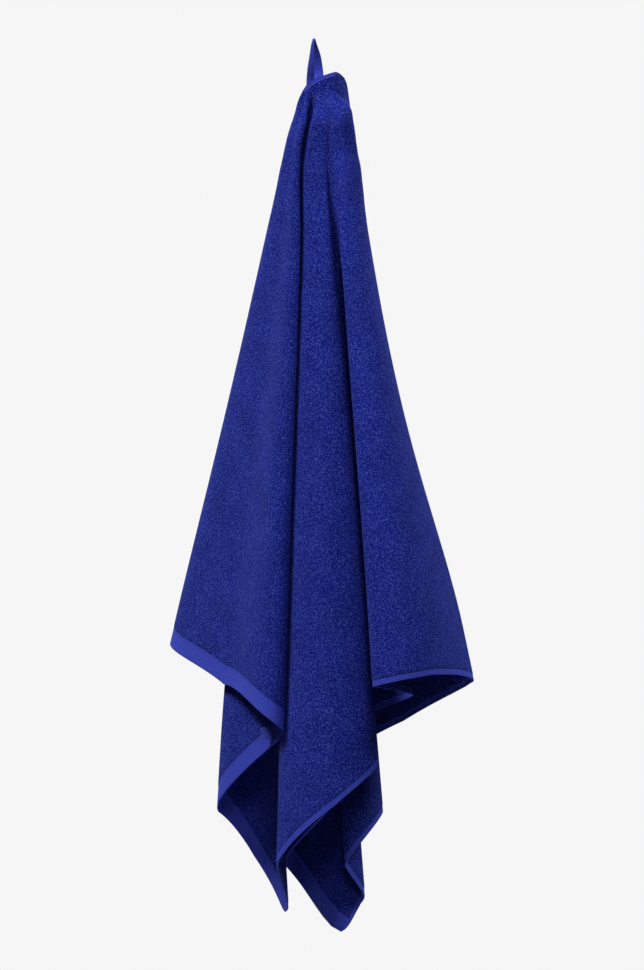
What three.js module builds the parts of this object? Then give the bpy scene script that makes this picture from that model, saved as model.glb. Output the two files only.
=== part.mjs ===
// Bath towel of looped cotton terry, cut 700 by 1400 mm, hanging from a tape loop that is sewn behind
// the middle of one long side. The whole towel falls from that point in pleats that open downwards.
// Millimetres, +Z up. The origin is the top of the loop. The side that faces -Y is the front.
import * as THREE from 'three';

// Cut size of the towel, from the sewn point to a short side, and across.
const HALF_LENGTH = 700;
const WIDTH = 700;
// The two corners are slightly rounded; a larger power is sharper.
const CORNER_SHARPNESS = 80;
// The terry is squeezed thin where the pleats crowd together, and full further down.
const THICKNESS = { top: 1, full: 2.5, from: 60, to: 400 };
const SHORT_SIDE_HEM = 22;

// The sewn point, where every pleat starts, seen from the top of the loop.
const SEWN_POINT = new THREE.Vector3(2, 1, -46);

// Plan sections through the folds are given at three distances from the sewn point, along the cloth.
const SHOULDER = 90;
const KNEE = 650;
const TAIL = 990;
const KNEE_BEND = 150;

// One row for each fold, from the free half of the top edge at the left round to the one at the right:
// its name, then the fold's line on the flat cloth, in degrees from the towel's middle line,
// then where the fold lies in plan at the shoulder, the knee and the tail, as x and y, then
// turn: radius of the fold at the knee; a large one is a soft bend.
// hang: hanging length over cut length, as small waves shorten a fold and weight stretches it.
// bow: how far the fold line bends sideways between shoulder and knee.
// sag: how far the middle of the cloth between this fold and the next hangs down, at the knee.
function fold(name, angle, shoulder, knee, tail, { turn, hang = 1, bow = 0, sag = 0 }) {
  return { name, angle, shoulder, knee, tail, turn, hang, bow, sag };
}
const FOLDS = [
  fold('free left edge', -90, [-35, 17], [-136, 148], [-200, 230], { turn: 60, hang: 0.99 }),
  fold('left wing', -87, [-35.5, 11], [-161, 132], [-240, 200], { turn: 9, hang: 0.988, bow: 2 }),
  fold('left panel middle', -77, [-25, -2], [-98, 30], [-140, 50], { turn: 200, hang: 0.988, sag: -6 }),
  fold('left curl', -67.5, [-16.8, -10], [-38, -46], [-50, -60], { turn: 14, hang: 0.988, sag: 2 }),
  fold('rear left', -54.2, [-24, 13], [-101, 62], [-122, 74], { turn: 14, sag: -5 }),
  fold('left tail', -49.6, [-18.5, 8.5], [-80, 60], [-70, 92], { turn: 200, hang: 0.997 }),
  fold('left corner', -45, [-13, 4], [-58, 50], [-35, 62], { turn: 200, hang: 0.994 }),
  fold('centre left', -39, [-8, -8], [-29, -38], [-44, -44], { turn: 12, hang: 0.996 }),
  fold('centre panel middle', -33.5, [0, -9], [19, -74], [20, -90], { turn: 200 }),
  fold('centre right', -28, [9, -9.5], [62, -62], [81, -66], { turn: 14 }),
  fold('inner left', -21, [13.5, -8.3], [26, -24], [34, -26], { turn: 8 }),
  fold('inner right', -13.5, [17, -10.8], [103, -50], [140, -58], { turn: 8 }),
  fold('right panel left', -6, [21, -12], [65, -108], [80, -140], { turn: 10, hang: 1.006 }),
  fold('right panel middle', 1.5, [35, -7], [126, -88], [170, -116], { turn: 200 }),
  fold('right wing', 14, [42.5, 5], [166, 38], [232, 56], { turn: 11, bow: -14 }),
  fold('rear panel middle', 22, [32, 10], [96, 64], [120, 80], { turn: 200 }),
  fold('rear fold', 29.5, [22, 12.5], [20, 82], [10, 110], { turn: 8 }),
  fold('bulge right', 35, [13, 14], [60, 42], [89, 34], { turn: 12, sag: -6 }),
  fold('bulge left', 39.5, [6, 16], [20, 8], [42, -8], { turn: 10, hang: 0.998 }),
  fold('tail right', 43, [0, 18], [33, 33], [57, 38], { turn: 12 }),
  fold('right corner', 45, [-5, 20], [10, 41], [30, 26], { turn: 200, hang: 1.01 }),
  fold('tail left', 49.6, [-12.5, 21.5], [-18, 42], [-38, 60], { turn: 10 }),
  fold('inner curl', 57, [-16.5, 25], [2, -8], [22, -92], { turn: 10 }),
  fold('inner back', 66, [-18, 29], [-42, 64], [-50, 92], { turn: 9 }),
  fold('back panel middle', 77, [6, 34], [54, 116], [76, 156], { turn: 45 }),
  fold('free right edge', 90, [42, 38], [146, 104], [205, 150], { turn: 45 }),
];
// A fold with a turn larger than this is a soft bend and needs no extra columns beside it.
const SOFT_TURN = 50;

// Round the sewn point the cloth is one flat cap, which turns into the pleats below it.
// One row for each distance from the sewn point: the slopes, in degrees from straight down, of the cap's
// left edge, of its right wing and of the free right edge, which folds away behind the wing.
const CAP_SLOPES = [
  { distance: 0, left: -56, wing: 45, right: 106 },
  { distance: 12, left: -53, wing: 47, right: 108 },
  { distance: 25, left: -42, wing: 50, right: 108 },
  { distance: 34, left: -37, wing: 52, right: 90 },
  { distance: 38, left: -35, wing: 52, right: 74 },
  { distance: 43, left: -32.5, wing: 51, right: 62 },
  { distance: 48, left: -30.8, wing: 51, right: 55 },
  { distance: 55, left: -29, wing: 48, right: 47 },
  { distance: 65, left: -27.3, wing: 41, right: 40 },
  { distance: 75, left: -25.8, wing: 36.4, right: 35.5 },
  { distance: 87, left: -24, wing: 32, right: 31 },
  { distance: 100, left: -22.4, wing: 28.7, right: 28.3 },
  { distance: 130, left: -20, wing: 24.2, right: 23.8 },
  { distance: 160, left: -18.4, wing: 21.1, right: 20.8 },
  { distance: 190, left: -17.9, wing: 19.6, right: 19.4 },
];
// The pleats gain their depth first. Those in front spread out over these distances, and those behind
// draw in after them, so that no two pass through each other.
const DEPTH_GROWS = [15, 60];
const FRONT_SPREADS = [20, 60];
const REAR_DRAWS_IN = [45, 120];
const CAP_ENDS = [110, 190];
// In the cap the pleats lie nearer the left edge than they do below it: a power of their place across.
const TOWARDS_LEFT = 1.15;

// Rows of the cloth: the first ones at these distances from the sewn point, the rest spread to the hem.
const HEAD_ROWS = [12, 24, 33, 38, 44, 54, 68, 84, 104];
const BODY_ROWS = 12;
// Places across a pleat, nearer together beside a fold: shares of the way from one fold to the next.
const BESIDE_FOLD = [0.09, 0.24];

const radians = THREE.MathUtils.degToRad;
const { smoothstep, lerp, clamp } = THREE.MathUtils;

// Length of the cloth from the sewn point to its hem, in one direction on the flat cloth.
function lengthToHem(angle) {
  const turned = radians(angle);
  const across = Math.abs(Math.sin(turned) / HALF_LENGTH) ** CORNER_SHARPNESS;
  const down = Math.abs(Math.cos(turned) / WIDTH) ** CORNER_SHARPNESS;
  return (across + down) ** (-1 / CORNER_SHARPNESS);
}

// Plan position of a fold at a distance from the sewn point: two slopes that meet in a bend at the knee.
function foldPlan(line, distance) {
  return [0, 1].map((axis) => {
    const upper = (line.knee[axis] - line.shoulder[axis]) / (KNEE - SHOULDER);
    const lower = (line.tail[axis] - line.knee[axis]) / (TAIL - KNEE);
    const bendStart = KNEE - KNEE_BEND;
    const bend = clamp(distance - bendStart, 0, 2 * KNEE_BEND);
    const past = Math.max(distance - KNEE - KNEE_BEND, 0);
    const share = clamp((distance - SHOULDER) / (KNEE - SHOULDER), 0, 1);
    const bow = axis === 0 ? line.bow * (4 * share * (1 - share)) ** 2 : 0;
    const straight = line.shoulder[axis] + upper * (distance - past - SHOULDER);
    return straight + bow + (lower - upper) * bend * bend / (4 * KNEE_BEND) + lower * past;
  });
}

// Heights down a fold in short steps: what is left of each step's length after its run in plan.
const HEIGHT_STEP = 5;
function foldHeights(line) {
  const heights = [0];
  let before = foldPlan(line, 0);
  for (let distance = HEIGHT_STEP; distance <= TAIL + 2 * HEIGHT_STEP; distance += HEIGHT_STEP) {
    const here = foldPlan(line, distance);
    const run = Math.hypot(here[0] - before[0], here[1] - before[1]);
    const drop = Math.sqrt(Math.max(HEIGHT_STEP ** 2 - run ** 2, 0.1));
    heights.push(heights[heights.length - 1] - line.hang * drop);
    before = here;
  }
  return heights;
}
const FOLD_HEIGHTS = FOLDS.map(foldHeights);

function foldPoint(index, distance) {
  const [x, y] = foldPlan(FOLDS[index], distance);
  const step = distance / HEIGHT_STEP;
  const whole = Math.floor(step);
  const heights = FOLD_HEIGHTS[index];
  const next = heights[Math.min(whole + 1, heights.length - 1)];
  return new THREE.Vector3(x, y, lerp(heights[whole], next, step - whole));
}

// Direction in plan from one fold point to another.
function planDirection(from, to) {
  return new THREE.Vector2(to.x - from.x, to.y - from.y).normalize();
}

// Direction of the cloth in plan as it passes a fold: square to the fold where it doubles back.
const NEARLY_STRAIGHT = 0.3;
function foldDirection(points, index) {
  if (index === 0) return planDirection(points[0], points[1]);
  const before = planDirection(points[index - 1], points[index]);
  if (index === points.length - 1) return before;
  const after = planDirection(points[index], points[index + 1]);
  const onward = before.clone().add(after);
  const square = new THREE.Vector2(after.y - before.y, before.x - after.x);
  if (square.length() <= NEARLY_STRAIGHT) return onward.normalize();
  if (square.dot(onward) < 0) square.negate();
  return square.normalize();
}

// The rounded run of cloth from one fold to the next, in plan, as even steps of its own length.
const RUN_STEPS = 40;
const TIGHT_AT_TOP = 0.25;
function pleatRun(points, index, distance) {
  const [start, end] = [points[index], points[index + 1]];
  const chord = Math.hypot(end.x - start.x, end.y - start.y);
  const grown = Math.min(1, lerp(TIGHT_AT_TOP, 1, distance / KNEE));
  const pull = (line) => Math.min(Math.sqrt(6 * line.turn * grown * chord), chord);
  const leave = foldDirection(points, index).multiplyScalar(pull(FOLDS[index]));
  const arrive = foldDirection(points, index + 1).multiplyScalar(pull(FOLDS[index + 1]));
  const sag = FOLDS[index].sag * distance / KNEE;
  const run = [];
  for (let step = 0; step <= RUN_STEPS; step += 1) {
    const s = step / RUN_STEPS;
    const startShare = 2 * s ** 3 - 3 * s ** 2 + 1;
    const leaveShare = s ** 3 - 2 * s ** 2 + s;
    const arriveShare = s ** 3 - s ** 2;
    run.push(new THREE.Vector3(
      startShare * start.x + leaveShare * leave.x + (1 - startShare) * end.x + arriveShare * arrive.x,
      startShare * start.y + leaveShare * leave.y + (1 - startShare) * end.y + arriveShare * arrive.y,
      lerp(start.z, end.z, s) - sag * 4 * s * (1 - s),
    ));
  }
  return run;
}

// The point of a run at a share of its length in plan.
function alongRun(run, share) {
  const lengths = [0];
  for (let i = 1; i < run.length; i += 1) {
    lengths.push(lengths[i - 1] + Math.hypot(run[i].x - run[i - 1].x, run[i].y - run[i - 1].y));
  }
  const wanted = share * lengths[lengths.length - 1];
  let i = 1;
  while (i < run.length - 1 && lengths[i] < wanted) i += 1;
  const part = (wanted - lengths[i - 1]) / Math.max(lengths[i] - lengths[i - 1], 1e-9);
  return run[i - 1].clone().lerp(run[i], clamp(part, 0, 1));
}

// The slopes of the cap at a distance from the sewn point, between the rows of its table.
function capSlopes(distance) {
  const after = CAP_SLOPES.find((row) => row.distance > distance) ?? CAP_SLOPES[CAP_SLOPES.length - 1];
  const before = CAP_SLOPES[Math.max(CAP_SLOPES.indexOf(after) - 1, 0)];
  const share = Math.min((distance - before.distance) / (after.distance - before.distance), 1);
  return {
    left: lerp(before.left, after.left, share),
    wing: lerp(before.wing, after.wing, share),
    right: lerp(before.right, after.right, share),
  };
}

function slopeOf(point) {
  return THREE.MathUtils.radToDeg(Math.atan2(point.x, -point.z));
}

// The columns of the cloth: each lies between two folds and follows one straight line of the flat cloth.
function clothColumns() {
  const columns = [];
  for (let index = 0; index < FOLDS.length - 1; index += 1) {
    const shares = [0];
    if (FOLDS[index].turn < SOFT_TURN) shares.push(...BESIDE_FOLD);
    shares.push(0.5);
    if (FOLDS[index + 1].turn < SOFT_TURN) shares.push(...BESIDE_FOLD.map((share) => 1 - share).reverse());
    for (const share of shares) {
      columns.push({ index, share, angle: lerp(FOLDS[index].angle, FOLDS[index + 1].angle, share) });
    }
  }
  columns.push({ index: FOLDS.length - 2, share: 1, angle: FOLDS[FOLDS.length - 1].angle });
  return columns;
}

// The middle of the cloth's thickness at one column and distance, seen from the sewn point.
// Above the shoulder the pleats narrow evenly to the sewn point, and are fanned out again into the cap.
const LEFT_WING = FOLDS.findIndex((line) => line.name === 'left wing');
const RIGHT_WING = FOLDS.findIndex((line) => line.name === 'right wing');
function clothPoint(column, distance) {
  const reach = Math.max(distance, SHOULDER);
  const points = FOLDS.map((line, index) => foldPoint(index, reach));
  const pleated = alongRun(pleatRun(points, column.index, reach), column.share);
  const front = column.angle < FOLDS[RIGHT_WING].angle;
  const settled = smoothstep(distance, ...(front ? FRONT_SPREADS : REAR_DRAWS_IN));
  const radius = lerp(distance, Math.hypot(pleated.x, pleated.z) * distance / reach, settled);
  const { left, wing, right } = capSlopes(radius);
  const [slope, slopeLeft, slopeWing] = [pleated, points[LEFT_WING], points[RIGHT_WING]].map(slopeOf);
  const across = Math.max((slope - slopeLeft) / (slopeWing - slopeLeft), 0);
  const fanned = lerp(left, wing, across ** TOWARDS_LEFT);
  const folded = lerp(fanned, slope, smoothstep(radius, ...CAP_ENDS));
  const flat = front
    ? lerp(left, wing, (column.angle + 90) / (FOLDS[RIGHT_WING].angle + 90))
    : lerp(wing, right, (column.angle - FOLDS[RIGHT_WING].angle) / (90 - FOLDS[RIGHT_WING].angle));
  const turned = radians(lerp(flat, folded, settled));
  const depth = pleated.y * smoothstep(distance, ...DEPTH_GROWS);
  return new THREE.Vector3(radius * Math.sin(turned), depth, -radius * Math.cos(turned));
}

function thicknessAt(distance) {
  return lerp(THICKNESS.top, THICKNESS.full, smoothstep(distance, THICKNESS.from, THICKNESS.to));
}

function rowDistances(angle) {
  const lastHead = HEAD_ROWS[HEAD_ROWS.length - 1];
  const rows = [0, ...HEAD_ROWS];
  for (let row = 1; row <= BODY_ROWS; row += 1) {
    rows.push(lerp(lastHead, lengthToHem(angle), row / BODY_ROWS));
  }
  return rows;
}

// A closed sheet from a grid of middle points and the thickness of each row.
// Row 0 is the one point where all columns meet.
function sheetFromFan(grid, thickness) {
  const rows = grid.length;
  const columns = grid[0].length;
  const normal = (row, column) => {
    if (row === 0) return new THREE.Vector3(0, -1, 0);
    const down = grid[Math.min(row + 1, rows - 1)][column].clone().sub(grid[row - 1][column]);
    const after = grid[row][Math.min(column + 1, columns - 1)];
    const before = grid[row][Math.max(column - 1, 0)];
    return down.cross(after.clone().sub(before)).normalize();
  };
  const positions = [];
  const vertex = (row, column, side) => {
    const middle = grid[row][row === 0 ? 0 : column];
    const place = middle.clone().addScaledVector(normal(row, column), side * thickness[row][column] / 2);
    positions.push(place.x, place.y, place.z);
    return positions.length / 3 - 1;
  };
  const faceOf = (side) => {
    const tip = vertex(0, 0, side);
    const face = [new Array(columns).fill(tip)];
    for (let row = 1; row < rows; row += 1) {
      face.push(grid[row].map((point, column) => vertex(row, column, side)));
    }
    return face;
  };
  const front = faceOf(1);
  const back = faceOf(-1);
  const triangles = [];
  const quad = (a, b, c, d) => {
    if (a !== b) triangles.push(a, b, c);
    triangles.push(a, c, d);
  };
  for (let row = 0; row < rows - 1; row += 1) {
    for (let column = 0; column < columns - 1; column += 1) {
      quad(front[row][column + 1], front[row][column], front[row + 1][column], front[row + 1][column + 1]);
      quad(back[row][column], back[row][column + 1], back[row + 1][column + 1], back[row + 1][column]);
    }
    const end = columns - 1;
    triangles.push(front[row][0], back[row][0], back[row + 1][0]);
    triangles.push(front[row][0], back[row + 1][0], front[row + 1][0]);
    triangles.push(back[row][end], front[row][end], front[row + 1][end]);
    triangles.push(back[row][end], front[row + 1][end], back[row + 1][end]);
  }
  for (let column = 0; column < columns - 1; column += 1) {
    const hem = rows - 1;
    triangles.push(front[hem][column + 1], front[hem][column], back[hem][column]);
    triangles.push(front[hem][column + 1], back[hem][column], back[hem][column + 1]);
  }
  return closedGeometry(positions, triangles);
}

function closedGeometry(positions, triangles) {
  const geometry = new THREE.BufferGeometry();
  geometry.setAttribute('position', new THREE.Float32BufferAttribute(positions, 3));
  geometry.setIndex(triangles);
  return geometry;
}

function towel() {
  const columns = clothColumns();
  const distances = columns.map((column) => rowDistances(column.angle));
  const grid = [];
  const thickness = [];
  for (let row = 0; row < distances[0].length; row += 1) {
    grid.push(columns.map((column, i) => clothPoint(column, distances[i][row])));
    thickness.push(distances.map((list) => thicknessAt(list[row])));
  }
  return sheetFromFan(grid, thickness);
}

// The loop is one length of tape, sewn down behind the hem at both ends, side by side.
// It rises in front, is gathered lengthwise over the hook, and comes down behind.
// One row for each station: height above the sewn point, plan place, the tape's width as x and y, thickness.
const TAPE_STATIONS = [
  { height: -13, x: -6.0, y: 2.6, wide: [9.6, 0], thick: 1.2 },
  { height: -2, x: -6.0, y: 2.4, wide: [9.4, 0], thick: 1.2 },
  { height: 12, x: -5.6, y: -1.2, wide: [7.4, -2.2], thick: 1.3 },
  { height: 26, x: -4.8, y: -4.0, wide: [4.6, -2.6], thick: 1.5 },
  { height: 38, x: -3.6, y: -3.0, wide: [2.8, -2.0], thick: 1.8 },
  { height: 45, x: -2.0, y: -1.0, wide: [1.8, -1.6], thick: 2 },
  { height: 38, x: -0.4, y: 4.6, wide: [4.2, -1.6], thick: 1.8 },
  { height: 26, x: 1.4, y: 8.4, wide: [7.6, -1.4], thick: 1.5 },
  { height: 12, x: 2.9, y: 7.6, wide: [9.6, -0.8], thick: 1.3 },
  { height: -2, x: 4.2, y: 2.8, wide: [9.6, 0], thick: 1.2 },
  { height: -13, x: 4.6, y: 2.6, wide: [9.6, 0], thick: 1.2 },
];
const TAPE_STEPS = 48;
const TAPE_ACROSS = [-0.5, -0.25, 0, 0.25, 0.5];

function loopOfTape() {
  const centres = TAPE_STATIONS.map((station) => new THREE.Vector3(station.x, station.y, station.height));
  const path = new THREE.CatmullRomCurve3(centres, false, 'centripetal');
  const positions = [];
  const across = TAPE_ACROSS.length;
  for (let step = 0; step <= TAPE_STEPS; step += 1) {
    const place = step / TAPE_STEPS;
    const between = Math.min(place * (TAPE_STATIONS.length - 1), TAPE_STATIONS.length - 1 - 1e-6);
    const [from, to] = [TAPE_STATIONS[Math.floor(between)], TAPE_STATIONS[Math.floor(between) + 1]];
    const share = between - Math.floor(between);
    const wide = new THREE.Vector3(...[0, 1].map((axis) => lerp(from.wide[axis], to.wide[axis], share)), 0);
    const middle = path.getPoint(place);
    const face = path.getTangent(place).cross(wide).normalize();
    const half = lerp(from.thick, to.thick, share) / 2;
    for (const [side, order] of [[1, TAPE_ACROSS], [-1, [...TAPE_ACROSS].reverse()]]) {
      for (const part of order) {
        const point = middle.clone().addScaledVector(wide, part).addScaledVector(face, side * half);
        positions.push(point.x, point.y, point.z);
      }
    }
  }
  const around = 2 * across;
  const triangles = [];
  for (let step = 0; step < TAPE_STEPS; step += 1) {
    for (let corner = 0; corner < around; corner += 1) {
      const a = step * around + corner;
      const b = step * around + (corner + 1) % around;
      triangles.push(a, b + around, b, a, a + around, b + around);
    }
  }
  const last = TAPE_STEPS * around;
  for (let corner = 1; corner < around - 1; corner += 1) {
    triangles.push(0, corner, corner + 1, last, last + corner + 1, last + corner);
  }
  return closedGeometry(positions, triangles);
}

// The point of the cloth at a place on the flat towel, measured across and down from the sewn point.
function flatPoint(across, down) {
  const angle = THREE.MathUtils.radToDeg(Math.atan2(across, down));
  const index = FOLDS.findIndex((line, i) => i === FOLDS.length - 2 || angle < FOLDS[i + 1].angle);
  const share = (angle - FOLDS[index].angle) / (FOLDS[index + 1].angle - FOLDS[index].angle);
  return clothPoint({ index, share, angle }, Math.hypot(across, down));
}

// The label: a short folded tape whose lower end is caught in the inner seam of the wide hem at the left.
// It hangs over the hem, just clear of the inner face of the cloth. down: its place along the seam,
// aside and below: how far its middle lies from there, lean: in radians.
const LABEL = { down: 332, aside: 7.5, below: 6, width: 14, height: 13, thickness: 1, clear: 7.2, lean: 0.19 };

function label() {
  const end = flatPoint(SHORT_SIDE_HEM - HALF_LENGTH, LABEL.down);
  const left = new THREE.Vector3(-Math.cos(LABEL.lean), 0, -Math.sin(LABEL.lean));
  const up = new THREE.Vector3(-Math.sin(LABEL.lean), 0, Math.cos(LABEL.lean));
  const back = new THREE.Vector3(0, 1, 0);
  const middle = end.addScaledVector(left, LABEL.aside).addScaledVector(up, -LABEL.below)
    .addScaledVector(back, -LABEL.clear);
  const geometry = new THREE.BoxGeometry(LABEL.width, LABEL.height, LABEL.thickness);
  const bare = new THREE.BufferGeometry();
  bare.setAttribute('position', geometry.getAttribute('position'));
  bare.setIndex(geometry.getIndex());
  return bare.applyMatrix4(new THREE.Matrix4().makeBasis(left, up, back).setPosition(middle));
}

function piece(name, geometry, color, roughness) {
  const mesh = new THREE.Mesh(geometry, new THREE.MeshStandardMaterial({ color, roughness, metalness: 0 }));
  mesh.name = name;
  mesh.position.copy(SEWN_POINT);
  return mesh;
}

const bathTowel = new THREE.Group();
bathTowel.add(piece('towel', towel(), 0x27329a, 0.95));
bathTowel.add(piece('hanging_loop', loopOfTape(), 0x3c48ae, 0.8));
bathTowel.add(piece('label', label(), 0x46539f, 0.8));

export default bathTowel;
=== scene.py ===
# Royal blue terry bath towel, cut 70 by 140 cm, hanging from a tape loop behind the middle of one long side.
# Blender's metres, in the frame of the solids: the loop's top is the origin and the camera looks along +Y.
import bmesh
import bpy
from math import atan2, ceil, cos, degrees, exp, floor, hypot, pi, radians, sin, sqrt
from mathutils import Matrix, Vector


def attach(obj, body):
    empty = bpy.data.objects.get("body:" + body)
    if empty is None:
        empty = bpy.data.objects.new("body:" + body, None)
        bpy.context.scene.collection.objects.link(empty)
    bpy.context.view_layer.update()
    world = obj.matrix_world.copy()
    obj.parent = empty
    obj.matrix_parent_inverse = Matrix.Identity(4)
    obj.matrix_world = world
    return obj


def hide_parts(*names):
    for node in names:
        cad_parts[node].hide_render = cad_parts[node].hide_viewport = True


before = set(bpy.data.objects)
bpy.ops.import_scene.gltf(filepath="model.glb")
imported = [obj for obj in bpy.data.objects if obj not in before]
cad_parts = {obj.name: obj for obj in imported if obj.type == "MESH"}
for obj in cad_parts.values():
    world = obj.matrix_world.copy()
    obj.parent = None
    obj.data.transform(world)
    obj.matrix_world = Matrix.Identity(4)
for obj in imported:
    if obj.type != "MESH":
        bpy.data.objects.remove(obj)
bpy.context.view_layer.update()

# Camera and light. The view is level and straight on, from 4 m away.
# Two large soft lights stand high at the left and right in front, with a weak one ahead and two behind.
# The backdrop is pale, but lights the towel little, so that the folds stay dark inside.
PHOTO_MM_PER_PIXEL = 1.155
PHOTO_HEIGHT = 970
VIEW_DISTANCE = 4.0
SENSOR_HEIGHT = 36
camera_data = bpy.data.cameras.new("camera")
camera_data.sensor_fit = "VERTICAL"
camera_data.sensor_height = SENSOR_HEIGHT
camera_data.lens = SENSOR_HEIGHT * VIEW_DISTANCE / (PHOTO_HEIGHT * PHOTO_MM_PER_PIXEL / 1000)
camera = bpy.data.objects.new("camera", camera_data)
camera.location = (0.00924, -VIEW_DISTANCE, -0.5163)
camera.rotation_euler = (radians(90), 0, 0)
bpy.context.scene.collection.objects.link(camera)
bpy.context.scene.camera = camera
bpy.context.scene.view_settings.view_transform = "Standard"


def soft_light(name, place, aim, size, power):
    lamp = bpy.data.lights.new(name, "AREA")
    lamp.shape = "DISK"
    lamp.size = size
    lamp.energy = power
    light = bpy.data.objects.new(name, lamp)
    light.location = place
    light.rotation_euler = (Vector(aim) - Vector(place)).to_track_quat("-Z", "Y").to_euler()
    bpy.context.scene.collection.objects.link(light)


TOWEL_MIDDLE, TOWEL_BELOW_MIDDLE = (0, 0, -0.55), (0, 0, -0.7)
soft_light("key light", (-3.7, -2.35, 6.2), TOWEL_MIDDLE, size=2.1, power=680)
soft_light("fill light", (4.4, -1.75, 6.0), TOWEL_MIDDLE, size=2.1, power=320)
soft_light("front light", (0.4, -5.6, 3.4), TOWEL_BELOW_MIDDLE, size=1.6, power=80)
soft_light("back light", (-1.6, 2.4, 2.2), TOWEL_MIDDLE, size=1.6, power=85)
soft_light("back fill light", (2.2, 2.2, 1.6), TOWEL_MIDDLE, size=1.6, power=70)

BACKDROP_COLOUR = (0.92, 0.92, 0.92, 1)
BACKDROP_LIGHTS_TOWEL = 0.03
world = bpy.data.worlds.new("pale room")
bpy.context.scene.world = world
world.use_nodes = True
room = world.node_tree.nodes
room["Background"].inputs["Color"].default_value = BACKDROP_COLOUR
seen = room.new("ShaderNodeLightPath")
dimmed = room.new("ShaderNodeMapRange")
dimmed.inputs["To Min"].default_value = BACKDROP_LIGHTS_TOWEL
world.node_tree.links.new(seen.outputs["Is Camera Ray"], dimmed.inputs["Value"])
world.node_tree.links.new(dimmed.outputs[0], room["Background"].inputs["Strength"])

# A pale disc far below the towel, which throws a little light up on it.
FLOOR_RADIUS, FLOOR_HEIGHT = 0.8, -2.2
floor_mesh = bpy.data.meshes.new("floor")
bm = bmesh.new()
bmesh.ops.create_circle(bm, cap_ends=True, radius=FLOOR_RADIUS, segments=96)
bmesh.ops.translate(bm, verts=bm.verts, vec=(0, 0, FLOOR_HEIGHT))
bm.to_mesh(floor_mesh)
bm.free()
floor_piece = bpy.data.objects.new("floor", floor_mesh)
bpy.context.scene.collection.objects.link(floor_piece)
floor_paint = bpy.data.materials.new("floor paint")
floor_paint.use_nodes = True
floor_shader = floor_paint.node_tree.nodes["Principled BSDF"]
floor_shader.inputs["Base Color"].default_value = (0.82, 0.82, 0.82, 1)
floor_shader.inputs["Roughness"].default_value = 0.9
floor_mesh.materials.append(floor_paint)


# The towel: one length of looped cotton terry, hemmed wide on the short ends and narrow on the long sides.
# It hangs from the middle of a long side, so every pleat starts at that sewn point and opens downwards.
# Its folds are lines from the sewn point, as the cloth was cut and as it hangs, in millimetres.
HALF_LENGTH = 700
WIDTH = 700
CORNER_SHARPNESS = 80
SEWN_POINT = Vector((2, 1, -46))

# A fold line runs straight from the shoulder to the knee and on to the tail, with a soft bend at the knee.
SHOULDER, KNEE, TAIL, KNEE_BEND = 90, 650, 990, 150
FOLD_STEP = 5


class Fold:
    def __init__(self, name, angle, shoulder, knee, tail, turn, hang=1, bow=0, sag=0):
        self.name, self.angle = name, angle
        self.shoulder, self.knee, self.tail = shoulder, knee, tail
        self.turn, self.hang, self.bow, self.sag = turn, hang, bow, sag
        self.heights = [0]
        before = self.plan(0)
        for step in range(1, ceil(TAIL / FOLD_STEP) + 4):
            here = self.plan(step * FOLD_STEP)
            run = hypot(here[0] - before[0], here[1] - before[1])
            self.heights.append(self.heights[-1] - hang * sqrt(max(FOLD_STEP ** 2 - run * run, 0.1)))
            before = here

    def plan(self, distance):
        bend = min(max(distance - KNEE + KNEE_BEND, 0), 2 * KNEE_BEND)
        past = max(distance - KNEE - KNEE_BEND, 0)
        share = min(max((distance - SHOULDER) / (KNEE - SHOULDER), 0), 1)
        place = []
        for axis in (0, 1):
            upper = (self.knee[axis] - self.shoulder[axis]) / (KNEE - SHOULDER)
            lower = (self.tail[axis] - self.knee[axis]) / (TAIL - KNEE)
            straight = self.shoulder[axis] + upper * (distance - past - SHOULDER)
            place.append(straight + (lower - upper) * bend * bend / (4 * KNEE_BEND) + lower * past)
        place[0] += self.bow * (4 * share * (1 - share)) ** 2
        return place

    def point(self, distance):
        x, y = self.plan(distance)
        whole = floor(distance / FOLD_STEP)
        part = distance / FOLD_STEP - whole
        return Vector((x, y, self.heights[whole] * (1 - part) + self.heights[whole + 1] * part))


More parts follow.
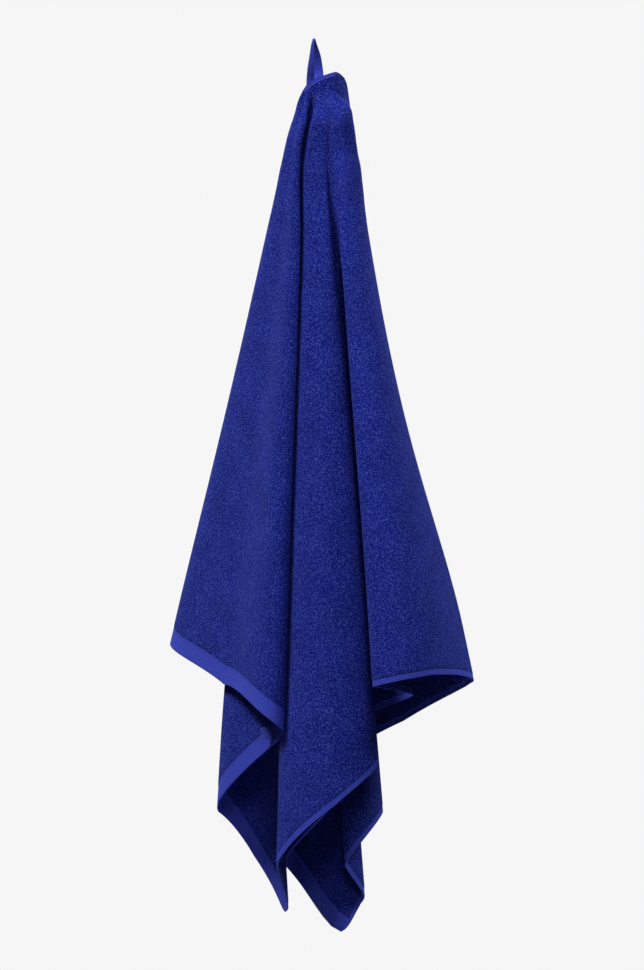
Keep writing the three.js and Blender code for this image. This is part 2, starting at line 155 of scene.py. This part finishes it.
# Columns: name, degrees on the flat cloth from straight down, and x and y of the shoulder, knee and tail.
# Then how softly it turns, how much of the cloth's length hangs down, how far the line bows out, and how far
# the cloth after it sags.
FOLDS = [
    Fold("free left edge", -90, (-35, 17), (-136, 148), (-200, 230), turn=60, hang=0.99),
    Fold("left wing", -87, (-35.5, 11), (-161, 132), (-240, 200), turn=9, hang=0.988, bow=2),
    Fold("left panel middle", -77, (-25, -2), (-98, 30), (-140, 50), turn=200, hang=0.988, sag=-6),
    Fold("left curl", -67.5, (-16.8, -10), (-38, -46), (-50, -60), turn=14, hang=0.988, sag=2),
    Fold("rear left", -54.2, (-24, 13), (-101, 62), (-122, 74), turn=14, sag=-5),
    Fold("left tail", -49.6, (-18.5, 8.5), (-80, 60), (-70, 92), turn=200, hang=0.997),
    Fold("left corner", -45, (-13, 4), (-58, 50), (-35, 62), turn=200, hang=0.994),
    Fold("centre left", -39, (-8, -8), (-29, -38), (-44, -44), turn=12, hang=0.996),
    Fold("centre panel middle", -33.5, (0, -9), (19, -74), (20, -90), turn=200),
    Fold("centre right", -28, (9, -9.5), (62, -62), (81, -66), turn=14),
    Fold("inner left", -21, (13.5, -8.3), (26, -24), (34, -26), turn=8),
    Fold("inner right", -13.5, (17, -10.8), (103, -50), (140, -58), turn=8),
    Fold("right panel left", -6, (21, -12), (65, -108), (80, -140), turn=10, hang=1.006),
    Fold("right panel middle", 1.5, (35, -7), (126, -88), (170, -116), turn=200),
    Fold("right wing", 14, (42.5, 5), (166, 38), (232, 56), turn=11, bow=-14),
    Fold("rear panel middle", 22, (32, 10), (96, 64), (120, 80), turn=200),
    Fold("rear fold", 29.5, (22, 12.5), (20, 82), (10, 110), turn=8),
    Fold("bulge right", 35, (13, 14), (60, 42), (89, 34), turn=12, sag=-6),
    Fold("bulge left", 39.5, (6, 16), (20, 8), (42, -8), turn=10, hang=0.998),
    Fold("tail right", 43, (0, 18), (33, 33), (57, 38), turn=12),
    Fold("right corner", 45, (-5, 20), (10, 41), (30, 26), turn=200, hang=1.01),
    Fold("tail left", 49.6, (-12.5, 21.5), (-18, 42), (-38, 60), turn=10),
    Fold("inner curl", 57, (-16.5, 25), (2, -8), (22, -92), turn=10),
    Fold("inner back", 66, (-18, 29), (-42, 64), (-50, 92), turn=9),
    Fold("back panel middle", 77, (6, 34), (54, 116), (76, 156), turn=45),
    Fold("free right edge", 90, (42, 38), (146, 104), (205, 150), turn=45),
]

# Round the sewn point the cloth is a flat cap, which turns into the pleats below it. Columns: distance, and
# the slopes in degrees from straight down of its left edge, its right wing and its free right edge.
CAP_SLOPES = [
    (0, -56, 45, 106),
    (12, -53, 47, 108),
    (25, -42, 50, 108),
    (34, -37, 52, 90),
    (38, -35, 52, 74),
    (43, -32.5, 51, 62),
    (48, -30.8, 51, 55),
    (55, -29, 48, 47),
    (65, -27.3, 41, 40),
    (75, -25.8, 36.4, 35.5),
    (87, -24, 32, 31),
    (100, -22.4, 28.7, 28.3),
    (130, -20, 24.2, 23.8),
    (160, -18.4, 21.1, 20.8),
    (190, -17.9, 19.6, 19.4),
    (2000, -17.9, 19.6, 19.4),
]


def mix(a, b, share):
    return a + (b - a) * share


def ease(value, low, high):
    share = min(max((value - low) / (high - low), 0), 1)
    return share * share * (3 - 2 * share)


def cap_slopes(distance):
    for before, after in zip(CAP_SLOPES, CAP_SLOPES[1:]):
        if distance < after[0]:
            share = (distance - before[0]) / (after[0] - before[0])
            return [mix(a, b, share) for a, b in zip(before[1:], after[1:])]


def slope_of(point):
    return degrees(atan2(point.x, -point.z))


def fold_direction(points, index):
    def towards(a, b):
        return (points[b] - points[a]).to_2d().normalized()
    if index == 0:
        return towards(0, 1)
    before = towards(index - 1, index)
    if index == len(points) - 1:
        return before
    after = towards(index, index + 1)
    onward = before + after
    square = Vector((after.y - before.y, before.x - after.x))
    if square.length <= 0.3:
        return onward.normalized()
    if square.dot(onward) < 0:
        square.negate()
    return square.normalized()


# Between two fold lines the cloth is a smooth curve, rounder where the folds turn softly.
PLEAT_STEPS = 24
DEPTH_AT_TOP = 0.25


def pleat_point(index, share, distance):
    near = range(max(index - 1, 0), min(index + 3, len(FOLDS)))
    points = {i: FOLDS[i].point(distance) for i in near}
    ordered = [points[i] for i in near]
    start, end = points[index], points[index + 1]
    chord = (end - start).to_2d().length
    grown = min(1, mix(DEPTH_AT_TOP, 1, distance / KNEE))

    def pull(i):
        if 0 < i < len(FOLDS) - 1:
            line = fold_direction(ordered, i - near[0])
        else:
            line = (end - start).to_2d().normalized()
        return line * min(sqrt(6 * FOLDS[i].turn * grown * chord), chord)
    leave, arrive = pull(index), pull(index + 1)
    run, lengths = [], [0]
    for step in range(PLEAT_STEPS + 1):
        s = step / PLEAT_STEPS
        first = 2 * s ** 3 - 3 * s ** 2 + 1
        flat = first * start.to_2d() + (s ** 3 - 2 * s ** 2 + s) * leave
        flat += (1 - first) * end.to_2d() + (s ** 3 - s ** 2) * arrive
        sag = FOLDS[index].sag * distance / KNEE * 4 * s * (1 - s)
        run.append(Vector((flat.x, flat.y, mix(start.z, end.z, s) - sag)))
        if step:
            lengths.append(lengths[-1] + (run[-1] - run[-2]).to_2d().length)
    wanted = share * lengths[-1]
    step = 1
    while step < PLEAT_STEPS and lengths[step] < wanted:
        step += 1
    part = (wanted - lengths[step - 1]) / max(lengths[step] - lengths[step - 1], 1e-9)
    return run[step - 1].lerp(run[step], min(max(part, 0), 1))


# Above the shoulder the pleats narrow evenly to the sewn point, and are fanned out again into the cap.
# The pairs are distances between which the cloth left and right of the right wing settles from the cap into
# its pleats, the fan ends, and the pleats reach their whole depth.
LEFT_WING, RIGHT_WING = 1, 14
LEFT_SETTLES, RIGHT_SETTLES, FAN_ENDS, DEPTH_GROWS = (20, 60), (45, 120), (110, 190), (15, 60)
FAN_EVENNESS = 1.15


def cloth_point(index, share, distance):
    angle = mix(FOLDS[index].angle, FOLDS[index + 1].angle, share)
    reach = max(distance, SHOULDER)
    pleated = pleat_point(index, share, reach)
    wing_angle = FOLDS[RIGHT_WING].angle
    settled = ease(distance, *(LEFT_SETTLES if angle < wing_angle else RIGHT_SETTLES))
    radius = mix(distance, hypot(pleated.x, pleated.z) * distance / reach, settled)
    left, wing, right = cap_slopes(radius)
    slope_left, slope_wing = (slope_of(FOLDS[i].point(reach)) for i in (LEFT_WING, RIGHT_WING))
    across = max((slope_of(pleated) - slope_left) / (slope_wing - slope_left), 0)
    fanned = mix(left, wing, across ** FAN_EVENNESS)
    folded = mix(fanned, slope_of(pleated), ease(radius, *FAN_ENDS))
    if angle < wing_angle:
        flat = mix(left, wing, (angle + 90) / (wing_angle + 90))
    else:
        flat = mix(wing, right, (angle - wing_angle) / (90 - wing_angle))
    turned = radians(mix(flat, folded, settled))
    return Vector((radius * sin(turned), pleated.y * ease(distance, *DEPTH_GROWS), -radius * cos(turned)))


def length_to_hem(angle):
    turned = radians(angle)
    across, down = abs(sin(turned) / HALF_LENGTH), abs(cos(turned) / WIDTH)
    return (across ** CORNER_SHARPNESS + down ** CORNER_SHARPNESS) ** (-1 / CORNER_SHARPNESS)


# Soft creases in the front panels. Columns: degrees on the flat cloth, the distances between which the crease
# runs, half its width, and how far it stands out.
CREASES = [
    (10.6, 400, 700, 8, 2.6),
    (6.5, 430, 690, 9, -1.2),
    (-82, 480, 700, 12, -1.6),
    (-72.5, 560, 735, 10, 1.3),
    (-33, 520, 610, 7, -1.5),
]


def crease_height(angle, distance):
    height = 0
    for line, start, end, half_width, stands_out in CREASES:
        along = (distance - start) / (end - start)
        if 0 < along < 1:
            aside = radians(angle - line) * distance / half_width
            height += stands_out * exp(-aside * aside) * sin(pi * along)
    return height


# Lines down the cloth, closer together where it turns round a fold.
LINES_A_DEGREE, LEAST_LINES = 1.8, 10
SHARP_TURN, CROWDING = 50, 0.8
lines = []
for index, (fold, after) in enumerate(zip(FOLDS, FOLDS[1:])):
    count = max(LEAST_LINES, round((after.angle - fold.angle) * LINES_A_DEGREE))
    sharp_start, sharp_end = fold.turn < SHARP_TURN, after.turn < SHARP_TURN
    for k in range(count):
        t = k / count
        if sharp_start and sharp_end:
            t = mix(t, 0.5 - 0.5 * cos(pi * t), CROWDING)
        elif sharp_start:
            t = mix(t, 1 - cos(pi / 2 * t), CROWDING)
        elif sharp_end:
            t = mix(t, sin(pi / 2 * t), CROWDING)
        lines.append((index, t))
lines.append((len(FOLDS) - 2, 1))

# Rows across it: at set distances near the sewn point, evenly down the body, and at shares of the way to
# the cut edge.
ROWS = [3 * k for k in range(20)] + [60 + 5 * k for k in range(11)]
BODY_ROWS, BODY_ENDS = 74, 0.963
HEM_SHARES = [0.9672, 0.9696, 0.976, 0.983, 0.9892, 0.9914, 0.9957, 1]

# Where the hems start on the flat cloth, in metres across from its middle and down from the top edge.
# The cloth is thinner there, and where it is crushed together near the sewn point.
WIDE_HEM_STARTS, LOW_HEM_STARTS = 0.678, 0.6935
PILE_THICKNESS, HEM_THINNED_TO, CRUSHED_THINNED_TO = 0.0028, 0.7, 0.4
CRUSHED_ENDS = (0.06, 0.4)

towel_mesh = bpy.data.meshes.new("towel")
bm = bmesh.new()
row_count = len(ROWS) + BODY_ROWS + len(HEM_SHARES)
cut = bm.loops.layers.uv.new("cut cloth")
thin = bm.verts.layers.deform.new()
made = bmesh.ops.create_grid(bm, x_segments=len(lines) - 1, y_segments=row_count - 1, size=1)
flat_places = {}
for number, vert in enumerate(made["verts"]):
    row, column = divmod(number, len(lines))
    index, share = lines[column]
    angle = mix(FOLDS[index].angle, FOLDS[index + 1].angle, share)
    reach = length_to_hem(angle)
    body_row = row - len(ROWS) + 1
    if body_row < 1:
        distance = ROWS[row]
    elif body_row <= BODY_ROWS:
        distance = mix(ROWS[-1], reach * BODY_ENDS, body_row / BODY_ROWS)
    else:
        distance = reach * HEM_SHARES[body_row - BODY_ROWS - 1]
    crease = Vector((0, -crease_height(angle, distance), 0))
    vert.co = (cloth_point(index, share, distance) + crease + SEWN_POINT) / 1000
    flat_places[vert] = (distance * sin(radians(angle)) / 1000, distance * cos(radians(angle)) / 1000)
for face in bm.faces:
    for corner in face.loops:
        corner[cut].uv = flat_places[corner.vert]
for vert, (across, down) in flat_places.items():
    hemmed = abs(across) > WIDE_HEM_STARTS or down > LOW_HEM_STARTS
    whole = HEM_THINNED_TO if hemmed else 1
    vert[thin][0] = mix(CRUSHED_THINNED_TO, whole, ease(hypot(across, down), *CRUSHED_ENDS))
bmesh.ops.remove_doubles(bm, verts=bm.verts, dist=0.00001)
for face in bm.faces:
    face.smooth = True
bm.to_mesh(towel_mesh)
bm.free()
towel = bpy.data.objects.new("towel_cloth", towel_mesh)
bpy.context.scene.collection.objects.link(towel)
towel.vertex_groups.new(name="pile")
thickness = towel.modifiers.new("cloth thickness", "SOLIDIFY")
thickness.thickness = PILE_THICKNESS
thickness.offset = 0
thickness.vertex_group = "pile"
rolled = towel.modifiers.new("rolled hem edge", "BEVEL")
rolled.width = 0.0008
rolled.segments = 3
rolled.limit_method = "ANGLE"
rolled.angle_limit = radians(60)

terry = bpy.data.materials.new("blue terry")
terry.use_nodes = True


def add(material, kind, inputs, **settings):
    node = material.node_tree.nodes.new(kind)
    for name, value in settings.items():
        setattr(node, name, value)
    for key, value in inputs.items():
        if isinstance(value, bpy.types.NodeSocket):
            material.node_tree.links.new(value, node.inputs[key])
        else:
            node.inputs[key].default_value = value
    return node.outputs[0]


def maths(material, operation, *values):
    return add(material, "ShaderNodeMath", dict(enumerate(values)), operation=operation)


def step_between(material, value, low, high, below=0, above=1):
    limits = {"Value": value, "From Min": low, "From Max": high, "To Min": below, "To Max": above}
    return add(material, "ShaderNodeMapRange", limits, interpolation_type="SMOOTHSTEP")


def blend(material, share, first, second):
    return add(material, "ShaderNodeMix", {0: share, 6: first, 7: second}, data_type="RGBA").node.outputs[2]


flat = add(terry, "ShaderNodeUVMap", {}, uv_map="cut cloth")
sides = add(terry, "ShaderNodeSeparateXYZ", {0: flat})
down = sides.node.outputs["Y"]
across = maths(terry, "ABSOLUTE", sides)

# Hems: plain weave 22 mm wide on the short ends, 6.5 mm wide on the lower long side and 4.5 mm wide on the
# top edge. The top edge's hem is hidden where the left wing rolls over it, and crushed right of the loop.
wide_hem = step_between(terry, across, WIDE_HEM_STARTS - 0.0004, WIDE_HEM_STARTS + 0.0004)
low_hem = step_between(terry, down, LOW_HEM_STARTS - 0.0004, LOW_HEM_STARTS + 0.0002)
rolled_in = maths(terry, "MULTIPLY", step_between(terry, sides, -0.024, -0.014, 1, 0),
                  step_between(terry, sides, -0.17, -0.14))
crushed = maths(terry, "MULTIPLY", step_between(terry, sides, 0.018, 0.026),
                step_between(terry, sides, 0.1, 0.07))
top_hem = maths(terry, "SUBTRACT", step_between(terry, down, 0.0050, 0.0042),
                maths(terry, "MAXIMUM", rolled_in, crushed))
hem = maths(terry, "MAXIMUM", maths(terry, "MAXIMUM", wide_hem, low_hem), top_hem)

# Pile: loops a little over 1 mm apart, which clump together, over slow changes in the dye. Its colour is the
# blue of the cloth with painted shade in the hollows between the loops and painted highlights on the loop
# tops; the same loop mask also raises the loops' bump.
LOOPS_A_METRE, CLUMPS_A_METRE = 820, 640
PILE_IN_PAINTED_SHADE, PILE_WITH_PAINTED_HIGHLIGHT = (0.0038, 0.0102, 0.215, 1), (0.070, 0.104, 0.53, 1)
DYE_DEEP, DYE_PALE = (0.88, 0.88, 0.90, 1), (1.10, 1.10, 1.08, 1)
place = add(terry, "ShaderNodeTexCoord", {}).node.outputs["Object"]
loops = add(terry, "ShaderNodeTexVoronoi", {"Vector": place, "Scale": LOOPS_A_METRE}, feature="SMOOTH_F1")
clumps = add(terry, "ShaderNodeTexNoise",
             {"Vector": place, "Scale": CLUMPS_A_METRE, "Detail": 2, "Roughness": 0.6})
dye = add(terry, "ShaderNodeTexNoise", {"Vector": flat, "Scale": 26, "Detail": 3, "Roughness": 0.55},
          noise_dimensions="2D")
pile = maths(terry, "ADD", maths(terry, "MULTIPLY", loops, -0.75), maths(terry, "MULTIPLY", clumps, 1.3))
lit_loops = step_between(terry, pile, 0.22, 0.72)

# Hem weave: a dotted twill of small floats about 2.2 mm apart on ribs 1 mm apart, held down by stitches
# 3 mm apart. The waves are in radians a metre.
TWILL_WAVE, RIB_WAVE, STITCH_WAVE = 1450, 6500, 2000
WIDE_SEAM, LOW_SEAM = 0.6797, 0.6948
HEM_DARK, HEM_LIT, STITCH_COLOUR = (0.020, 0.032, 0.36, 1), (0.075, 0.105, 0.66, 1), (0.060, 0.088, 0.62, 1)
slant_a = maths(terry, "ADD", sides, down)
slant_b = maths(terry, "SUBTRACT", sides, down)
twill_a = maths(terry, "SINE", maths(terry, "MULTIPLY", slant_a, TWILL_WAVE))
twill_b = maths(terry, "SINE", maths(terry, "MULTIPLY", slant_b, TWILL_WAVE))
ribs = maths(terry, "SINE", maths(terry, "MULTIPLY", sides, RIB_WAVE))
twill = maths(terry, "ADD", maths(terry, "MULTIPLY", twill_a, twill_b), maths(terry, "MULTIPLY", ribs, 0.3))
from_seam = maths(terry, "ABSOLUTE", maths(terry, "SUBTRACT", across, WIDE_SEAM))
from_low_seam = maths(terry, "ABSOLUTE", maths(terry, "SUBTRACT", down, LOW_SEAM))
stitch_line = maths(terry, "MAXIMUM", step_between(terry, from_seam, 0.0004, 0.0007, 1, 0),
                    step_between(terry, from_low_seam, 0.0003, 0.0006, 1, 0))
dashes = maths(terry, "SINE", maths(terry, "MULTIPLY", slant_a, STITCH_WAVE))
dashes = step_between(terry, dashes, -0.6, -0.2)
stitches = maths(terry, "MULTIPLY", stitch_line, dashes)

# The blue pile with painted shade between the loops and painted highlights on their tops.
pile_colour = blend(terry, lit_loops, PILE_IN_PAINTED_SHADE, PILE_WITH_PAINTED_HIGHLIGHT)
dyed = blend(terry, step_between(terry, dye, 0.3, 0.7), DYE_DEEP, DYE_PALE)
pile_colour = add(terry, "ShaderNodeMix", {0: 1, 6: pile_colour, 7: dyed}, data_type="RGBA",
                  blend_type="MULTIPLY").node.outputs[2]
hem_colour = blend(terry, step_between(terry, twill, -0.9, 0.9), HEM_DARK, HEM_LIT)
hem_colour = blend(terry, stitches, hem_colour, STITCH_COLOUR)
colour = blend(terry, hem, pile_colour, hem_colour)

# Relief: the pile stands out over the hems, and each seam is a groove with its stitches in it.
not_hem = step_between(terry, hem, 0, 1, 1, 0)
pile_height = maths(terry, "ADD", maths(terry, "MULTIPLY", lit_loops, 0.8), 0.5)
height = maths(terry, "MULTIPLY", pile_height, not_hem)
height = maths(terry, "ADD", height, maths(terry, "MULTIPLY", maths(terry, "MULTIPLY", twill, 0.3), hem))
height = maths(terry, "ADD", height, maths(terry, "MULTIPLY", stitches, 0.35))
height = maths(terry, "SUBTRACT", height, maths(terry, "MULTIPLY", stitch_line, 0.3))
relief = add(terry, "ShaderNodeBump", {"Height": height, "Distance": 0.001, "Strength": 0.8})

shader = terry.node_tree.nodes["Principled BSDF"]
shader.inputs["Roughness"].default_value = 0.92
shader.inputs["Specular IOR Level"].default_value = 0.05
shader.inputs["Sheen Weight"].default_value = 0.06
shader.inputs["Sheen Roughness"].default_value = 0.6
shader.inputs["Sheen Tint"].default_value = (0.35, 0.42, 1, 1)
terry.node_tree.links.new(colour, shader.inputs["Base Color"])
terry.node_tree.links.new(relief, shader.inputs["Normal"])
towel_mesh.materials.append(terry)
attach(towel, "root")
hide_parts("towel")


# The hanging loop: a length of woven cotton tape, folded in two and stitched behind the hem at both ends.
# It is gathered lengthwise where the hook held it. Columns, in millimetres from the sewn point: height, x, y,
# and the tape's width as x and y.
TAPE = [
    (-13, -6.0, 2.6, 9.6, 0),
    (-2, -6.0, 2.4, 9.4, 0),
    (12, -5.6, -0.6, 7.4, -2.2),
    (26, -4.6, -2.4, 4.6, -2.6),
    (38, -3.6, -2.6, 2.8, -2.0),
    (45, -2.0, -1.0, 1.8, -1.6),
    (38, -0.6, 4.0, 4.8, 0.6),
    (26, 1.3, 7.8, 9.0, 2.0),
    (12, 2.8, 10.0, 10.6, 2.0),
    (3, 3.6, 8.6, 11, 1.0),
    (-4, 3.9, 2.8, 11, 0),
    (-13, 4.2, 2.6, 11, 0),
]
TAPE_LONG, TAPE_ACROSS = 120, 12
TAPE_WIDTH, TAPE_THICKNESS = 0.011, 0.0012
TAPE_RIB_WAVE, TAPE_SLANT_WAVE = 5700, 5200
TAPE_DARK, TAPE_LIT = (0.026, 0.040, 0.40, 1), (0.066, 0.092, 0.66, 1)


def along_tape(place):
    whole = min(int(place), len(TAPE) - 2)
    t = place - whole
    near = [TAPE[min(max(whole + k, 0), len(TAPE) - 1)] for k in (-1, 0, 1, 2)]
    values = []
    for a, b, c, d in zip(*near):
        square, cube = 2 * a - 5 * b + 4 * c - d, 3 * b - a - 3 * c + d
        values.append(0.5 * (2 * b + (c - a) * t + square * t * t + cube * t ** 3))
    height, x, y, wide_x, wide_y = values
    return Vector((x, y, height)), Vector((wide_x, wide_y, 0))


tape_mesh = bpy.data.meshes.new("hanging loop")
bm = bmesh.new()
weave = bm.loops.layers.uv.new("weave")
made = bmesh.ops.create_grid(bm, x_segments=TAPE_ACROSS, y_segments=TAPE_LONG, size=1)
woven_places = {}
travelled, last = 0, None
for number, vert in enumerate(made["verts"]):
    step, across = divmod(number, TAPE_ACROSS + 1)
    middle, wide = along_tape(step / TAPE_LONG * (len(TAPE) - 1))
    if across == 0:
        travelled += (middle - last).length if last else 0
        last = middle
    part = across / TAPE_ACROSS - 0.5
    vert.co = (SEWN_POINT + middle + wide * part) / 1000
    woven_places[vert] = (part * TAPE_WIDTH, travelled / 1000)
for face in bm.faces:
    face.smooth = True
    for corner in face.loops:
        corner[weave].uv = woven_places[corner.vert]
bm.to_mesh(tape_mesh)
bm.free()
tape = bpy.data.objects.new("loop_tape", tape_mesh)
bpy.context.scene.collection.objects.link(tape)
tape_thickness = tape.modifiers.new("tape thickness", "SOLIDIFY")
tape_thickness.thickness = TAPE_THICKNESS
tape_thickness.offset = 0

tape_cloth = bpy.data.materials.new("blue tape")
tape_cloth.use_nodes = True
woven = add(tape_cloth, "ShaderNodeUVMap", {}, uv_map="weave")
threads = add(tape_cloth, "ShaderNodeSeparateXYZ", {0: woven})
ribs = maths(tape_cloth, "SINE", maths(tape_cloth, "MULTIPLY", threads, TAPE_RIB_WAVE))
slant = maths(tape_cloth, "ADD", maths(tape_cloth, "MULTIPLY", maths(tape_cloth, "ABSOLUTE", threads), 1.2),
              threads.node.outputs["Y"])
floats = maths(tape_cloth, "SINE", maths(tape_cloth, "MULTIPLY", slant, TAPE_SLANT_WAVE))
herringbone = maths(tape_cloth, "MULTIPLY", floats, ribs)
rubbed = add(tape_cloth, "ShaderNodeTexNoise", {"Vector": woven, "Scale": 900, "Detail": 3},
             noise_dimensions="2D")
tone = maths(tape_cloth, "ADD", maths(tape_cloth, "MULTIPLY", herringbone, 0.22), rubbed)
colour = blend(tape_cloth, step_between(tape_cloth, tone, 0.2, 0.8), TAPE_DARK, TAPE_LIT)
relief = add(tape_cloth, "ShaderNodeBump", {"Height": herringbone, "Distance": 0.00015})
shader = tape_cloth.node_tree.nodes["Principled BSDF"]
tape_cloth.node_tree.links.new(colour, shader.inputs["Base Color"])
tape_cloth.node_tree.links.new(relief, shader.inputs["Normal"])
shader.inputs["Roughness"].default_value = 0.75
shader.inputs["Specular IOR Level"].default_value = 0.15
shader.inputs["Sheen Weight"].default_value = 0.1
shader.inputs["Sheen Tint"].default_value = (0.4, 0.45, 1, 1)
tape_mesh.materials.append(tape_cloth)
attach(tape, "root")
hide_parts("hanging_loop")


# The label: a short woven tape folded in two, sewn at one side to the inner seam of the wide hem at the left.
# Here it stands free, just in front of the inner face of the cloth, and is blank.
def flat_point(across, down):
    angle = degrees(atan2(across, down))
    index = max(i for i in range(len(FOLDS) - 1) if FOLDS[i].angle <= angle)
    share = (angle - FOLDS[index].angle) / (FOLDS[index + 1].angle - FOLDS[index].angle)
    return cloth_point(index, share, hypot(across, down))


# Where it is sewn on the flat cloth, and how far its sewn edge stands from there, in millimetres.
LABEL_ACROSS, LABEL_DOWN = -678, 332
LABEL_ASIDE, LABEL_BELOW, LABEL_CLEAR = 0.5, 6, 7.2
LABEL_WIDTH, LABEL_HEIGHT, LABEL_LEAN = 14, 13, 0.19
LABEL_COLUMNS, LABEL_HALF_ROWS = 10, 16
LABEL_THICKNESS, LABEL_WAVE = 0.0003, 12000
LABEL_DARK, LABEL_LIT = (0.034, 0.054, 0.44, 1), (0.080, 0.110, 0.70, 1)

# The fold, along its upper edge, takes this share of each half.
LABEL_FOLD = 0.08
leftward = Vector((-cos(LABEL_LEAN), 0, -sin(LABEL_LEAN)))
upward = Vector((-sin(LABEL_LEAN), 0, cos(LABEL_LEAN)))
end = flat_point(LABEL_ACROSS, LABEL_DOWN) + SEWN_POINT
end += LABEL_ASIDE * leftward - LABEL_BELOW * upward + Vector((0, -LABEL_CLEAR, 0))
label_mesh = bpy.data.meshes.new("label")
bm = bmesh.new()
ribbon = bm.loops.layers.uv.new("ribbon")
made = bmesh.ops.create_grid(bm, x_segments=LABEL_COLUMNS, y_segments=2 * LABEL_HALF_ROWS, size=1)
ribbon_places = {}
for number, vert in enumerate(made["verts"]):
    step, across = divmod(number, LABEL_COLUMNS + 1)
    part, turn = across / LABEL_COLUMNS, (step - LABEL_HALF_ROWS) / LABEL_HALF_ROWS
    rise = 0.5 - abs(turn) if abs(turn) > LABEL_FOLD else 0.42 + 0.04 * cos(turn * 19.6)
    rise *= LABEL_HEIGHT
    stand = 0.33 * max(-1, min(1, turn / LABEL_FOLD)) + 0.5 * sin(pi * part) * (1 - abs(turn))
    vert.co = (end + leftward * (LABEL_WIDTH * part) + upward * rise + Vector((0, stand, 0))) / 1000
    ribbon_places[vert] = (LABEL_WIDTH * part / 1000, LABEL_HEIGHT * turn / 1000)
for face in bm.faces:
    face.smooth = True
    for corner in face.loops:
        corner[ribbon].uv = ribbon_places[corner.vert]
bm.to_mesh(label_mesh)
bm.free()
label = bpy.data.objects.new("label_tape", label_mesh)
bpy.context.scene.collection.objects.link(label)
label_thickness = label.modifiers.new("label thickness", "SOLIDIFY")
label_thickness.thickness = LABEL_THICKNESS
label_thickness.offset = 0
label_cloth = bpy.data.materials.new("label weave")
label_cloth.use_nodes = True
woven = add(label_cloth, "ShaderNodeUVMap", {}, uv_map="ribbon")
threads = add(label_cloth, "ShaderNodeSeparateXYZ", {0: woven})
warp = maths(label_cloth, "SINE", maths(label_cloth, "MULTIPLY", threads, LABEL_WAVE))
weft = maths(label_cloth, "SINE", maths(label_cloth, "MULTIPLY", threads.node.outputs["Y"], LABEL_WAVE))
check = maths(label_cloth, "MULTIPLY", warp, weft)
wear = add(label_cloth, "ShaderNodeTexNoise", {"Vector": woven, "Scale": 350, "Detail": 2},
           noise_dimensions="2D")
tone = maths(label_cloth, "ADD", maths(label_cloth, "MULTIPLY", check, 0.2), wear)
colour = blend(label_cloth, tone, LABEL_DARK, LABEL_LIT)
relief = add(label_cloth, "ShaderNodeBump", {"Height": check, "Distance": 0.0001})
shader = label_cloth.node_tree.nodes["Principled BSDF"]
label_cloth.node_tree.links.new(colour, shader.inputs["Base Color"])
label_cloth.node_tree.links.new(relief, shader.inputs["Normal"])
shader.inputs["Roughness"].default_value = 0.7
shader.inputs["Specular IOR Level"].default_value = 0.2
label_mesh.materials.append(label_cloth)
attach(label, "root")
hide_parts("label")
